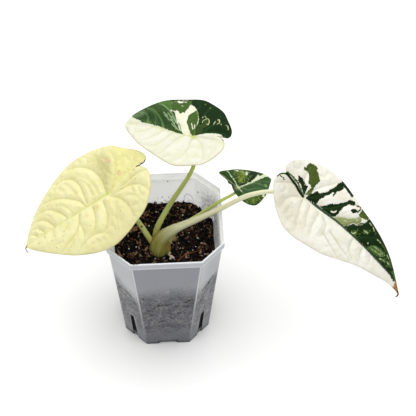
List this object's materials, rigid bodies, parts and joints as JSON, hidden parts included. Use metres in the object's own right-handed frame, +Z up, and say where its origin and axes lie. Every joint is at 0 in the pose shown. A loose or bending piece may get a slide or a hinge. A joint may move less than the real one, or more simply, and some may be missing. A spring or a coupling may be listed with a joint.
{
  "type": "potted variegated alocasia",
  "caption": "Young arrow-leaved house plant with variegated quilted blades, standing in a frosted square nursery pot filled with bark mix.",
  "frame": {"origin": "middle of the whole plant's footprint, on the surface that the pot stands on; the pot's own axis is 37 mm towards -X and 8 mm towards -Y from it", "axes": "+Z up, the front of the pot faces -Y, and +X points to the right of a viewer who looks at that front, along the plant's widest spread"},
  "size_m": [0.2896, 0.1114, 0.19],
  "materials": {
    "frosted_plastic": "frosted, translucent",
    "bark_mix": "coarse, damp",
    "corm_skin": "rough",
    "petiole_pale": "satin",
    "petiole_green": "satin",
    "blade_yellow": "satin, quilted",
    "blade_half_green": "satin, quilted, half cream",
    "blade_white": "satin, quilted, marbled dark green",
    "blade_mottled": "satin, mottled"
  },
  "bodies": {
    "root": {"pot": "frosted_plastic", "soil": "bark_mix", "corm": "corm_skin", "petiole_right": "petiole_pale", "petiole_top": "petiole_green", "petiole_left": "petiole_green", "petiole_small": "petiole_green", "blade_left": "blade_yellow", "blade_top": "blade_half_green", "blade_right": "blade_white", "blade_small": "blade_mottled"}
  },
  "joints": []
}
